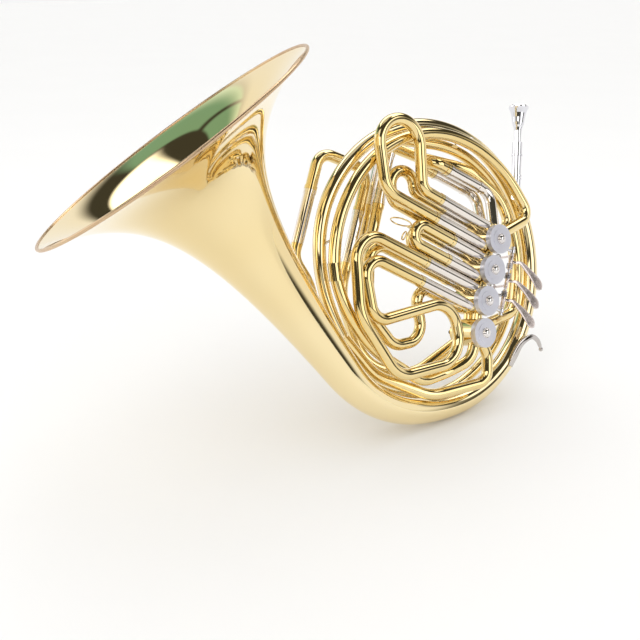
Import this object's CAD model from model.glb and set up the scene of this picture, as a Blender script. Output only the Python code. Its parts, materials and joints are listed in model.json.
"""Horn with four rotary valves: smooth bell and tail, finger levers, screws, hook and studio.

The coil lies in the XZ plane, with the valve caps facing -Y. The bell opens up and toward -X.
Shapes are worked out in millimetres and turned into metres when a mesh is made.
"""
import json
import math
import bpy
import numpy as np
from mathutils import Vector, Matrix


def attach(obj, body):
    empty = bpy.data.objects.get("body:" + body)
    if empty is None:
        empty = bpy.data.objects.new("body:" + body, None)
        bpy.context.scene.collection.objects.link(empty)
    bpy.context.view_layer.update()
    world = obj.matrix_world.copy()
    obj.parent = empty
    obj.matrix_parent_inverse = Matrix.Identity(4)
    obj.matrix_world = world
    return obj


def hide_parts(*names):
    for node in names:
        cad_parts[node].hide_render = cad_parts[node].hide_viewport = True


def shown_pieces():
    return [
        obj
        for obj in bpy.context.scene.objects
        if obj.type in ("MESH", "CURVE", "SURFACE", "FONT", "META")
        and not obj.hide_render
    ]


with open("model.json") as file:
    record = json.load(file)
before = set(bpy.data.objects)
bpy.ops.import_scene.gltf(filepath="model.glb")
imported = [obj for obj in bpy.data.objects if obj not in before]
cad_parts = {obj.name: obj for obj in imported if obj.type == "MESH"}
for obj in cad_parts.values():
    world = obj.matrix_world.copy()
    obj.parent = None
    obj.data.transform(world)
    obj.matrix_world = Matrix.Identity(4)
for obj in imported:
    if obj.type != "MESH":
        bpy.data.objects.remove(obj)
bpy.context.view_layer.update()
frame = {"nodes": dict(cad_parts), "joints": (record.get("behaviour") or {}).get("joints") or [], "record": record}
scene = bpy.context.scene
MM = 0.001
COIL_CENTRE_Z = 168.0
BASE_LIFT = 0.0066   # metres; the coil centre is this plus 168 mm above the lowest point
JOINTS = {joint["name"]: joint for joint in frame["joints"]}


# ---------------------------------------------------------------- shader node helpers
def connect(tree, target, inputs):
    """Fill a node's inputs: a socket is linked, anything else becomes the input's value."""
    for key, value in inputs.items():
        if isinstance(value, bpy.types.NodeSocket):
            tree.links.new(value, target.inputs[key])
        else:
            target.inputs[key].default_value = value


def node(tree, kind, inputs=None, **settings):
    made = tree.nodes.new("ShaderNode" + kind)
    for key, value in settings.items():
        setattr(made, key, value)
    connect(tree, made, inputs or {})
    return made


def object_coords(tree):
    return node(tree, "TexCoord").outputs["Object"]


def noise(tree, coords, scale, detail=3.0, roughness=0.5):
    return node(tree, "TexNoise", {"Scale": scale, "Detail": detail, "Roughness": roughness,
                                   "Vector": coords}).outputs["Fac"]


def remap(tree, value, source=(0.35, 0.65), target=(0.0, 1.0)):
    return node(tree, "MapRange", {
        "From Min": source[0], "From Max": source[1],
        "To Min": target[0], "To Max": target[1], "Value": value}).outputs["Result"]


def mix_colour(tree, factor, first, second, blend="MIX"):
    """In a colour mix, inputs 6 and 7 are the two colours and output 2 is the result."""
    return node(tree, "Mix", {0: factor, 6: first, 7: second},
                data_type="RGBA", blend_type=blend).outputs[2]


def mix_shader(tree, factor, first, second):
    return node(tree, "MixShader", {0: factor, 1: first, 2: second}).outputs[0]


def scalar_math(tree, operation, first, second):
    return node(tree, "Math", {0: first, 1: second}, operation=operation).outputs[0]


def vector_math(tree, operation, *vectors):
    made = node(tree, "VectorMath", dict(enumerate(vectors)), operation=operation)
    return made.outputs["Value" if operation in ("LENGTH", "DOT_PRODUCT") else "Vector"]


def bump(tree, height, strength, distance):
    return node(tree, "Bump", {"Strength": strength, "Distance": distance,
                               "Height": height}).outputs["Normal"]


def srgb(red, green, blue):
    def linear(level):
        level /= 255
        return level / 12.92 if level <= 0.04045 else ((level + 0.055) / 1.055) ** 2.4
    return (linear(red), linear(green), linear(blue), 1.0)


def new_material(name):
    material = bpy.data.materials.new(name)
    material.use_nodes = True
    tree = material.node_tree
    return material, tree, tree.nodes["Principled BSDF"]


# ---------------------------------------------------------------- materials
WARM_EDGE = (0.55, 0.42, 0.28, 1)
COOL_EDGE = (0.62, 0.62, 0.66, 1)


def metal(name, colour, drift_to, rough, coat=0.0, smudge=8.0, edge=True):
    """Polished metal: slow colour drift, hand marks in the roughness, fine grain in the bump.

    rough is the roughness range, smudge the scale of drift and marks; edge tints grazing angles.
    """
    material, tree, shader = new_material(name)
    coords = object_coords(tree)
    base = srgb(*colour)
    drift = remap(tree, noise(tree, coords, scale=smudge, detail=2.0))
    surface = mix_colour(tree, drift, base, srgb(*drift_to))
    if edge:
        facing = node(tree, "LayerWeight", {"Blend": 0.12}).outputs["Facing"]
        grazing = remap(tree, facing, source=(0.55, 1.0), target=(0.0, 0.55))
        edge_tint = WARM_EDGE if base[2] < base[0] * 0.7 else COOL_EDGE
        surface = mix_colour(tree, grazing, surface, edge_tint, blend="MULTIPLY")
    marks = noise(tree, coords, scale=smudge * 4.5, detail=5.0, roughness=0.65)
    grain = noise(tree, coords, scale=900.0, detail=2.0)
    connect(tree, shader, {
        "Base Color": surface,
        "Metallic": 1.0,
        "Roughness": remap(tree, marks, source=(0.38, 0.72), target=rough),
        "Coat Weight": coat,
        "Coat Roughness": 0.03,
        "Coat IOR": 1.48,
        "Normal": bump(tree, grain, strength=0.12, distance=0.002 * MM),
    })
    return material


def cap_material():
    """Satin screw cap: fine rings turned about each valve axis and a polished middle."""
    material, tree, shader = new_material("satin_valve_cap")
    coords = object_coords(tree)
    radius = None    # distance in the XZ plane to the nearest valve axis, in metres
    for joint in frame["joints"]:
        if not joint["name"].startswith("rotor_"):
            continue
        x, _, z = joint["pos_m"]
        offset = vector_math(tree, "SUBTRACT", coords, (x, 0, z))
        distance = vector_math(tree, "LENGTH", vector_math(tree, "MULTIPLY", offset, (1, 0, 1)))
        if radius is None:
            radius = distance
        else:
            radius = scalar_math(tree, "MINIMUM", radius, distance)
    rings_per_metre = 2600.0
    ring_place = scalar_math(tree, "MULTIPLY", radius, rings_per_metre)
    ring_coords = node(tree, "CombineXYZ", {"X": ring_place}).outputs[0]
    rings = noise(tree, ring_coords, scale=1.0)
    drift = remap(tree, noise(tree, coords, scale=40.0))
    connect(tree, shader, {
        "Metallic": 0.8,
        "Normal": bump(tree, rings, strength=0.25, distance=0.02 * MM),
        "Roughness": remap(tree, radius, source=(0.0048, 0.0056), target=(0.10, 0.34)),
        "Base Color": mix_colour(tree, drift, srgb(232, 232, 242), srgb(222, 222, 232)),
    })
    return material


def cork_material():
    material, tree, shader = new_material("stop_cork_rubber")
    coords = object_coords(tree)
    speckle = noise(tree, coords, scale=700.0, detail=4.0)
    pores = noise(tree, coords, scale=1500.0)
    connect(tree, shader, {
        "Base Color": mix_colour(tree, speckle, srgb(28, 26, 25), srgb(52, 46, 42)),
        "Roughness": 0.78,
        "Normal": bump(tree, pores, strength=0.5, distance=0.1 * MM),
    })
    return material


BRASS = metal("lacquered_brass", colour=(243, 221, 164), drift_to=(236, 210, 146),
              rough=(0.035, 0.08), coat=0.2)
BELL = metal("bell_brass", colour=(248, 230, 184), drift_to=(242, 220, 166),
             rough=(0.03, 0.065), coat=0.2, smudge=5.0)
NICKEL = metal("nickel_silver", colour=(243, 236, 228), drift_to=(232, 224, 216),
               rough=(0.06, 0.13), smudge=14.0)
SILVER = metal("silver_plate", colour=(232, 232, 236), drift_to=(218, 216, 222),
               rough=(0.06, 0.14), smudge=18.0)
RIM = metal("rim_bead_brass", colour=(214, 186, 150), drift_to=(200, 168, 136),
            rough=(0.24, 0.36), smudge=20.0, edge=False)
TURNED = metal("turned_brass", colour=(224, 190, 120), drift_to=(206, 168, 98),
               rough=(0.18, 0.30), smudge=25.0)
LEVER = metal("lever_nickel", colour=(232, 219, 215), drift_to=(216, 203, 199),
              rough=(0.20, 0.32), smudge=30.0)
DOME = metal("cap_screw_polish", colour=(236, 232, 230), drift_to=(222, 217, 216),
             rough=(0.03, 0.08), smudge=40.0)
HOOK = metal("hook_silver", colour=(206, 200, 196), drift_to=(186, 180, 178),
             rough=(0.05, 0.11), smudge=30.0)
STEEL = metal("spring_steel", colour=(186, 188, 194), drift_to=(160, 162, 170),
              rough=(0.18, 0.3), smudge=60.0)
MATERIAL_OF_SLOT = {
    "lacquered_brass": BRASS, "nickel_silver": NICKEL, "silver_plate": SILVER,
    "satin_cap": cap_material(), "rim_bead": RIM, "cork": cork_material(),
    "rotor_brass": TURNED, "spring_steel": STEEL,
}


def dress_cad_pieces():
    slot_of = {part["node"]: part["material_slot"] for part in frame["record"]["subparts"]}
    for name, piece in frame["nodes"].items():
        piece.data.materials.clear()
        piece.data.materials.append(MATERIAL_OF_SLOT[slot_of[name]])


# ---------------------------------------------------------------- mesh helpers
def mesh_object(name, shape, material, body, replaced=()):
    """Make a smooth object from (vertices in mm, faces) that rides on a body of the frame."""
    verts, faces = shape
    mesh = bpy.data.meshes.new(name)
    lift = np.array([0, 0, BASE_LIFT])
    mesh.from_pydata([tuple(np.asarray(vert) * MM + lift) for vert in verts], [], faces)
    mesh.validate()
    mesh.update()
    mesh.polygons.foreach_set("use_smooth", [True] * len(mesh.polygons))
    made = bpy.data.objects.new(name, mesh)
    scene.collection.objects.link(made)
    made.data.materials.append(material)
    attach(made, body)
    if replaced:
        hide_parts(*replaced)


def joint_place(name):
    """A joint's place in the millimetre coordinates of the shapes."""
    return np.array(JOINTS[name]["pos_m"]) / MM - np.array([0, 0, BASE_LIFT / MM])


def unit(vector):
    return vector / np.linalg.norm(vector)


def ring_axes(axis):
    """Two unit vectors square to a unit axis."""
    reference = [0, 1, 0] if abs(axis[1]) < 0.9 else [1, 0, 0]
    across = unit(np.cross(reference, axis))
    return across, np.cross(axis, across)


def circle(axis, count):
    """Unit vectors round an axis."""
    across, along = ring_axes(axis)
    angles = [2 * math.pi * j / count for j in range(count)]
    return [across * math.cos(angle) + along * math.sin(angle) for angle in angles]


def tube_faces(rings, count, start=0):
    """Quads between neighbouring rings of count vertices each."""
    faces = []
    for i in range(rings - 1):
        for j in range(count):
            a = start + i * count + j
            b = start + i * count + (j + 1) % count
            faces.append((a, b, b + count, a + count))
    return faces


def capped_faces(rings, count):
    """A tube closed by fans to two centre vertices that follow the rings."""
    faces = tube_faces(rings, count)
    total = rings * count
    for j in range(count):
        following = (j + 1) % count
        faces.append((total, following, j))
        faces.append((total + 1, total - count + j, total - count + following))
    return faces


def turned(profile, origin, axis, count=40):
    """A turned solid: profile of (distance along the axis, radius), closed at both ends."""
    axis = unit(np.asarray(axis, float))
    spokes = circle(axis, count)
    verts = [origin + axis * height + spoke * radius
             for height, radius in profile for spoke in spokes]
    verts += [origin + axis * profile[0][0], origin + axis * profile[-1][0]]
    return verts, capped_faces(len(profile), count)


def spline(points, steps):
    """Catmull-Rom curve through the points, in steps + 1 places."""
    points = [np.asarray(point, float) for point in points]
    points = [2 * points[0] - points[1]] + points + [2 * points[-1] - points[-2]]
    spans = len(points) - 3
    curve = []
    for i in range(steps + 1):
        place = i / steps * spans
        span = min(int(place), spans - 1)
        t = place - span
        a, b, c, d = points[span:span + 4]
        curve.append(0.5 * (2 * b + (c - a) * t + (2 * a - 5 * b + 4 * c - d) * t * t
                            + (3 * b - a - 3 * c + d) * t ** 3))
    return curve


def strip(points, widths, thicknesses, steps=44, count=28):
    """A flattened bar swept along a spline; widths and thicknesses are spread evenly along it."""
    rounded_from = 0.86                    # the far end is rounded over the rest of the length
    side_power, face_power = 0.75, 0.35    # squareness of the section in width and thickness
    curve = spline(points, steps)
    verts = []
    for i, centre in enumerate(curve):
        heading = unit(curve[min(i + 1, steps)] - curve[max(i - 1, 0)])
        side = unit(np.cross(heading, [0, 1, 0]))
        normal = np.cross(side, heading)
        part = i / steps
        width = np.interp(part, np.linspace(0, 1, len(widths)), widths)
        thickness = np.interp(part, np.linspace(0, 1, len(thicknesses)), thicknesses)
        past = max(0.0, (part - rounded_from) / (1 - rounded_from))
        width *= math.sqrt(max(1e-4, 1 - past ** 2))
        for j in range(count):
            angle = 2 * math.pi * j / count
            c, s = math.cos(angle), math.sin(angle)
            verts.append(centre + side * (width / 2) * np.sign(c) * abs(c) ** side_power
                         + normal * (thickness / 2) * np.sign(s) * abs(s) ** face_power)
    verts += [curve[0], curve[-1]]
    # the section runs the other way round from a turned one, so the faces are flipped
    return verts, [(face[0], *face[:0:-1]) for face in capped_faces(steps + 1, count)]


def merge(*shapes):
    verts, faces = [], []
    for shape_verts, shape_faces in shapes:
        start = len(verts)
        verts += shape_verts
        faces += [tuple(start + i for i in face) for face in shape_faces]
    return verts, faces


# ---------------------------------------------------------------- bell, rim bead and tail
BELL_RADIUS = 310.0 / 2
FLARE, FLARE_SHIFT = 6550.0, 41.0       # radius = FLARE / (distance from the rim + FLARE_SHIFT)
BELL_LENGTH = 288                       # straight part, from the rim along the bell's axis
LAST_BELL_STATION = 287.0
BEND_LENGTH = 187                       # from the straight part to the coil's lowest point
WALL = 0.9
COIL_RADIUS = 158.0
COIL_START, COIL_SWEEP = -90, 290       # degrees, from the coil's lowest point
RIM_CENTRE = np.array([-291.7, -2.0, 337.6])
BELL_TURN = math.radians(118.65)        # from +X toward +Z
BELL_TILT = math.radians(1.75)          # toward +Y
BELL_AXIS = np.array([math.cos(BELL_TURN) * math.cos(BELL_TILT), math.sin(BELL_TILT),
                      math.sin(BELL_TURN) * math.cos(BELL_TILT)])
BELL_END = RIM_CENTRE - BELL_AXIS * BELL_LENGTH


def smooth_step(t):
    t = max(0.0, min(1.0, t))
    return t * t * (3 - 2 * t)


def flare_radius(distance):
    return FLARE / (distance + FLARE_SHIFT)


def bell_radius(distance):
    """The flare, drawn in over the last 34 mm before the rim."""
    drawn_in = 5.4 * max(0.0, 1 - distance / 34) ** 2
    return min(BELL_RADIUS - 1.7, flare_radius(distance) - drawn_in)


def tail_radius(distance):
    """The flare plus a slow widening of 1.8 mm in 960."""
    return flare_radius(distance) + 1.8 * (distance - 290) / 960


def coil_point(degrees):
    """Centre line of the coil: wider at its foot, drawn in and moved to +Y at its end."""
    near_end = smooth_step((degrees - 140) / 60)
    radius = COIL_RADIUS + 3 * smooth_step(-degrees / 90) - 12 * near_end
    angle = math.radians(degrees)
    return np.array([radius * math.cos(angle), 2 * near_end,
                     COIL_CENTRE_Z + radius * math.sin(angle)])


def bend_point(t):
    """Bezier curve from the coil's lowest point (t = 0) to the end of the bell (t = 1)."""
    start = coil_point(COIL_START)
    start_handle = start + np.array([-70, 0, 0])
    end_handle = BELL_END - BELL_AXIS * 55
    u = 1 - t
    return (start * u ** 3 + start_handle * 3 * u * u * t
            + end_handle * 3 * u * t * t + BELL_END * t ** 3)


def tail_station(u):
    """Centre and distance from the rim; u is 0..1 over the bend and 1..2 over the coil."""
    if u <= 1:
        return bend_point(1 - u), BELL_LENGTH + BEND_LENGTH * u
    coil_length = COIL_RADIUS * COIL_SWEEP * math.pi / 180
    return (coil_point(COIL_START + COIL_SWEEP * (u - 1)),
            BELL_LENGTH + BEND_LENGTH + coil_length * (u - 1))


def rim_bead():
    """Rolled bead round the rim: a nearly round section turned about the bell's axis."""
    section_count = 28
    count = 256
    section = []
    for i in range(section_count):
        angle = 2 * math.pi * i / section_count
        section.append((BELL_RADIUS - 1.75 + 1.68 * math.cos(angle),
                        -0.55 + 1.72 * math.sin(angle)))
    verts = [RIM_CENTRE + spoke * radius + BELL_AXIS * height
             for spoke in circle(BELL_AXIS, count) for radius, height in section]
    faces = []
    for j in range(count):
        a = j * section_count
        b = (j + 1) % count * section_count
        for i in range(section_count):
            k = (i + 1) % section_count
            faces.append((a + i, b + i, b + k, a + k))
    return verts, faces


def bell_and_tail():
    """One sheet with an outer and an inner skin, from the rim round to the end of the coil."""
    bell_steps = 150
    bend_steps = 40
    coil_steps = 220
    count = 128

    stations = []    # centre, direction, radius
    for i in range(bell_steps + 1):
        distance = LAST_BELL_STATION * (i / bell_steps) ** 1.75    # closer together at the rim
        stations.append((RIM_CENTRE - BELL_AXIS * distance, -BELL_AXIS, bell_radius(distance)))
    places = [i / bend_steps for i in range(1, bend_steps + 1)]
    places += [1 + (i + 1) / coil_steps for i in range(coil_steps)]
    centres, distances = zip(*[tail_station(u) for u in places])
    headings = np.gradient(np.array(centres), axis=0)
    for centre, heading, distance in zip(centres, headings, distances):
        stations.append((centre, unit(heading), tail_radius(distance)))

    verts = []
    for inset in (0.0, WALL):
        for centre, heading, radius in stations:
            verts += [centre + (radius - inset) * spoke for spoke in circle(heading, count)]
    rings = len(stations)
    skin = rings * count
    faces = tube_faces(rings, count)
    faces += [face[::-1] for face in tube_faces(rings, count, start=skin)]
    for ring, flip in ((0, True), (rings - 1, False)):
        for j in range(count):
            a = ring * count + j
            b = ring * count + (j + 1) % count
            face = (a, b, b + skin, a + skin)
            faces.append(face[::-1] if flip else face)
    return verts, faces


# ---------------------------------------------------------------- finger levers
LEVER_ROW_START = joint_place("key_1_rock")
LEVER_ROW = np.array(JOINTS["key_1_rock"]["axis"])    # the levers follow each other against this
across_row = np.cross(LEVER_ROW, [0, -1, 0])
LEVER_OUT = unit(-across_row if across_row[0] < 0 else across_row)    # square to the row, to +X
ARM_LEAN = math.radians(9.85)                         # from +Y toward LEVER_OUT

# sleeve start, sleeve end and arm along the row; then blade root, middle and tip
LEVERS = [
    (3, 22, 5.6, [112.4, -27, 149], [123.5, -29.5, 137], [135.8, -32, 114.5]),
    (26.4, 44.6, 41.8, [100.4, -27, 128.5], [112.5, -29.5, 116.5], [125.5, -32, 94]),
    (47.5, 69.6, 66.8, [89.4, -27, 108], [100.5, -29.5, 96], [113.5, -32, 73.5]),
]
# distance from the sleeve's end, radius: bore, chamfer, collar, groove, body
SLEEVE_END = [(0, 1.56), (0, 2.5), (0.2, 2.7), (1.9, 2.7), (2.1, 2.45), (2.4, 2.45), (2.6, 2.65)]
# distance along the arm, radius
ARM_PROFILE = [(1.4, 0.1), (1.4, 2.0), (3.0, 1.8), (4.2, 1.35), (5.0, 1.3),
               (29.2, 1.3), (29.8, 1.1), (30.0, 0.7), (30.0, 0.05)]
BLADE_WIDTHS = [3.4, 3.2, 3.8, 6.0, 9.4, 12.4, 12.0]
BLADE_THICKNESSES = [3.0, 2.8, 2.6, 2.1, 1.8, 1.6, 1.5]


def row_point(distance):
    return LEVER_ROW_START - LEVER_ROW * distance


def finger_lever(sleeve_from, sleeve_to, arm_at, root, middle, tip):
    """Turned sleeve on the lever row, a thin arm toward +Y and a blade swept out to its tip."""
    start, end = row_point(sleeve_from), row_point(sleeve_to)
    length = np.linalg.norm(end - start)
    far_end = [(length - height, radius) for height, radius in reversed(SLEEVE_END)]
    sleeve = turned(SLEEVE_END + far_end, start, end - start)
    arm_axis = np.array([0, math.cos(ARM_LEAN), 0]) + LEVER_OUT * math.sin(ARM_LEAN)
    arm = turned(ARM_PROFILE, row_point(arm_at), arm_axis)

    hub = row_point((sleeve_from + sleeve_to) / 2)
    root, middle, tip = (np.array(point, float) for point in (root, middle, tip))
    tip = tip - LEVER_ROW * 2.0 + LEVER_OUT * 1.6
    blade = strip([
        hub + LEVER_OUT * 2.3 + np.array([0, -1.2, 0]),
        hub + LEVER_OUT * 5.4 + np.array([0, -3.6, 0]),
        root,
        middle * 0.55 + root * 0.45 - LEVER_OUT * 0.8,
        middle * 0.75 + tip * 0.25 - LEVER_OUT * 1.2,
        middle * 0.35 + tip * 0.65 - LEVER_OUT * 0.6,
        tip + np.array([0, 0.9, 0]),
    ], BLADE_WIDTHS, BLADE_THICKNESSES)
    return merge(sleeve, arm, blade)


# ---------------------------------------------------------------- valve cap screws
CAP_FACE_Y = -45.4
DOME_BASE, DOME_HEIGHT, DOME_RADIUS = 0.35, 3.1, 4.95
# height above the cap's face, radius: a raised ring with a groove inside it
SCREW_FOOT = [(-0.9, 5.9), (0.35, 5.9), (0.6, 5.6), (0.6, 5.25), (0.35, 5.1),
              (DOME_BASE, DOME_RADIUS)]


def cap_screw(valve):
    """Domed screw in the middle of a valve cap, facing -Y."""
    centre = joint_place("rotor_%d_turn" % valve)
    angles = [math.radians(degrees) for degrees in (*range(6, 85, 6), 87)]
    dome = [(DOME_BASE + DOME_HEIGHT * math.sin(angle), DOME_RADIUS * math.cos(angle))
            for angle in angles]
    return turned(SCREW_FOOT + dome, np.array([centre[0], CAP_FACE_Y, centre[2]]),
                  [0.0, -1.0, 0.0], count=48)


# ---------------------------------------------------------------- little-finger hook
HOOK_LINE = [
    [85, -12.4, 30.0], [94, -14.0, 41.5], [104.0, -15.2, 51.5], [114, -16.6, 56.2],
    [124.5, -16.9, 56.6], [134, -15.0, 50.2], [139.6, -12.4, 43], [142.6, -10.4, 37.6],
]
HOOK_WIDTHS = [6.0, 8.8, 7.6, 6.4, 6.0, 5.6, 5.0, 4.2]
HOOK_THICKNESSES = [1.8, 2.8, 3.2, 3.2, 3.2, 3.2, 3.0, 2.8]
BALL_RADIUS = 2.7
BALL_CENTRE = np.array([143.2, -10.0, 36.2])


def finger_hook():
    """A soldered foot, a flattened strip rising off the coil and a ball at its end."""
    bar = strip(HOOK_LINE, HOOK_WIDTHS, HOOK_THICKNESSES, steps=60)
    profile = []
    for degrees in range(-88, 89, 8):
        angle = math.radians(degrees)
        profile.append((BALL_RADIUS * math.sin(angle), max(0.03, BALL_RADIUS * math.cos(angle))))
    return merge(bar, turned(profile, BALL_CENTRE, [0.45, 0.2, -0.85], count=32))


dress_cad_pieces()
mesh_object("rim_bead", rim_bead(), RIM, "horn_body", ["rim_wire"])
mesh_object("bell_and_tail", bell_and_tail(), BELL, "horn_body",
            ["bell", "bell_tail"])
for number, lever in enumerate(LEVERS, 1):
    mesh_object("lever_spatula_%d" % number, finger_lever(*lever), LEVER, "key_%d" % number,
                ["finger_lever_%d" % number])
for valve in range(1, 5):
    mesh_object("cap_screw_%d" % valve, cap_screw(valve), DOME, "horn_body")
mesh_object("hook_strip", finger_hook(), HOOK, "horn_body", ["finger_hook"])

# ---------------------------------------------------------------- floor and camera (metres)
UP = Vector((0.0, -0.3045, 0.9524)).normalized()    # the floor's normal, leaning toward -Y
FORWARD = Vector((0.5483, 0.8262, -0.1292)).normalized()
CAMERA_PLACE = Vector((-0.6610, -0.7509, 0.2666))
CAMERA_UP_HINT = Vector((0.2218, 0.0054, 0.9752))
RIGHT = FORWARD.cross(CAMERA_UP_HINT).normalized()
CAMERA_UP = RIGHT.cross(FORWARD).normalized()
AWAY = (FORWARD - UP * FORWARD.dot(UP)).normalized()    # along the floor, away from the camera
FLOOR_SIZE, FLOOR_GAP = 24.0, 0.001


def floor_material():
    """Pale matt floor that is clear from below."""
    material, tree, shader = new_material("studio_floor")
    mottle = noise(tree, object_coords(tree), scale=3.0, detail=4.0)
    connect(tree, shader, {
        "Base Color": mix_colour(tree, mottle, (0.86, 0.86, 0.86, 1), (0.88, 0.88, 0.88, 1)),
        "Roughness": 0.75,
        "Specular IOR Level": 0.2,
    })
    from_below = node(tree, "NewGeometry").outputs["Backfacing"]
    clear = node(tree, "BsdfTransparent").outputs[0]
    surface = mix_shader(tree, from_below, shader.outputs[0], clear)
    connect(tree, tree.nodes["Material Output"], {"Surface": surface})
    return material


def lowest_along_up():
    normal = np.array(UP, np.float32)
    lowest = []
    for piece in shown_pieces():
        places = np.empty(len(piece.data.vertices) * 3, np.float32)
        piece.data.vertices.foreach_get("co", places)
        lowest.append(float((places.reshape(-1, 3) @ normal).min()))
    return min(lowest)


def add_floor():
    height = lowest_along_up() - FLOOR_GAP
    material = floor_material()
    bpy.ops.mesh.primitive_plane_add(size=FLOOR_SIZE)
    floor = bpy.context.object
    floor.name = "floor"
    floor.data.materials.append(material)
    turn = UP.to_track_quat("Z", "Y").to_matrix().to_4x4()
    floor.matrix_world = Matrix.Translation(UP * height) @ turn


def add_camera():
    lens = bpy.data.cameras.new("camera")
    lens.lens = 49.5
    lens.sensor_width = 36.0
    lens.clip_start = 0.02
    lens.clip_end = 100.0
    camera = bpy.data.objects.new("camera", lens)
    scene.collection.objects.link(camera)
    turn = Matrix((RIGHT, CAMERA_UP, -FORWARD)).transposed().to_4x4()
    camera.matrix_world = Matrix.Translation(CAMERA_PLACE) @ turn
    scene.camera = camera


# ---------------------------------------------------------------- world and lights
ROOM_COLOUR = (0.055, 0.052, 0.040)
SWEEP_COLOUR = (0.92, 0.91, 0.90)
# Bounds on a direction's right and up parts, edge softness,
# side (1 beyond the horn, -1 on the camera's side, None for both), colour
PANELS = [
    ((-0.55, 0.60), (0.62, 0.90), 0.03, 1, (2.3, 2.25, 2.15)),       # overhead softbox
    ((-0.80, 0.05), (0.34, 0.66), 0.03, -1, (1.9, 1.87, 1.8)),       # over the left shoulder
    ((0.45, 0.90), (0.05, 0.62), 0.03, -1, (1.5, 1.5, 1.5)),         # strip on the right
    ((-0.99, -0.88), (-0.2, 0.42), 0.02, None, (1.1, 1.1, 1.08)),    # far left card
    ((-0.92, -0.72), (0.36, 0.60), 0.015, 1, (0.17, 0.36, 0.26)),    # tinted window, left pane
    ((-0.69, -0.50), (0.36, 0.60), 0.015, 1, (0.17, 0.36, 0.26)),    # tinted window, right pane
    ((-0.20, 0.30), (0.03, 0.22), 0.03, -1, (0.5, 0.5, 0.48)),       # dim wall behind the camera
]


def rise(tree, value, low, high):
    return node(tree, "MapRange", {"Value": value, "From Min": low, "From Max": high},
                interpolation_type="SMOOTHSTEP").outputs["Result"]


def fall(tree, value, low, high):
    return scalar_math(tree, "SUBTRACT", 1.0, rise(tree, value, low, high))


def band(tree, value, bounds, soft):
    low, high = bounds
    return scalar_math(tree, "MULTIPLY", rise(tree, value, low - soft, low + soft),
                       fall(tree, value, high - soft, high + soft))


def scaled(tree, colour, amount):
    return node(tree, "VectorMath", {0: colour, "Scale": amount}, operation="SCALE").outputs[0]


def studio_light(tree):
    """Dark room with a pale sweep behind the horn and bright panels."""
    direction = node(tree, "TexCoord").outputs["Generated"]
    up_part, right_part, away_part = (
        vector_math(tree, "DOT_PRODUCT", direction, axis) for axis in (UP, RIGHT, AWAY))
    total = scaled(tree, ROOM_COLOUR, 1.0)
    sweep = scalar_math(tree, "MULTIPLY", rise(tree, away_part, -0.25, 0.12),
                        fall(tree, up_part, 0.30, 0.46))
    total = vector_math(tree, "ADD", total, scaled(tree, SWEEP_COLOUR, sweep))
    for right_bounds, up_bounds, soft, side, colour in PANELS:
        mask = scalar_math(tree, "MULTIPLY", band(tree, right_part, right_bounds, soft),
                           band(tree, up_part, up_bounds, soft))
        if side == 1:
            mask = scalar_math(tree, "MULTIPLY", mask, rise(tree, away_part, 0.0, 0.08))
        elif side == -1:
            mask = scalar_math(tree, "MULTIPLY", mask, fall(tree, away_part, -0.08, 0.0))
        total = vector_math(tree, "ADD", total, scaled(tree, colour, mask))
    return total


def add_world():
    """Reflections see the studio, matt surfaces an even white and the camera a plain pale grey."""
    world = bpy.data.worlds.new("studio")
    scene.world = world
    world.use_nodes = True
    tree = world.node_tree
    tree.nodes.clear()
    studio, even, plain = (
        node(tree, "Background", {"Color": colour}).outputs[0]
        for colour in (studio_light(tree), (1.0, 1.0, 1.0, 1), (0.93, 0.93, 0.93, 1)))
    ray = node(tree, "LightPath").outputs
    lit = mix_shader(tree, ray["Is Diffuse Ray"], studio, even)
    seen = mix_shader(tree, ray["Is Camera Ray"], lit, plain)
    node(tree, "OutputWorld", {"Surface": seen})


def area_light(name, up, right, away, width, height, power):
    """Rectangular light aimed at the horn, placed by its offsets from the horn's middle."""
    target = Vector((-0.07, -0.02, 0.2))
    place = target + UP * up + RIGHT * right + AWAY * away
    light = bpy.data.lights.new(name, "AREA")
    light.energy = power
    light.shape = "RECTANGLE"
    light.size = width
    light.size_y = height
    lamp = bpy.data.objects.new(name, light)
    scene.collection.objects.link(lamp)
    turn = (target - place).normalized().to_track_quat("-Z", "Y").to_matrix().to_4x4()
    lamp.matrix_world = Matrix.Translation(place) @ turn


add_floor()
add_camera()
add_world()
area_light("key_light", up=1.5, right=-0.9, away=-0.9, width=1.0, height=1.0, power=3.2)
area_light("fill_light", up=0.7, right=1.6, away=-0.8, width=0.5, height=1.2, power=1.0)
area_light("top_light", up=1.9, right=0.0, away=0.5, width=1.6, height=1.0, power=3.0)

scene.view_settings.view_transform = "Standard"
scene.view_settings.look = "None"
scene.view_settings.exposure = 0.0
scene.view_settings.gamma = 1.0
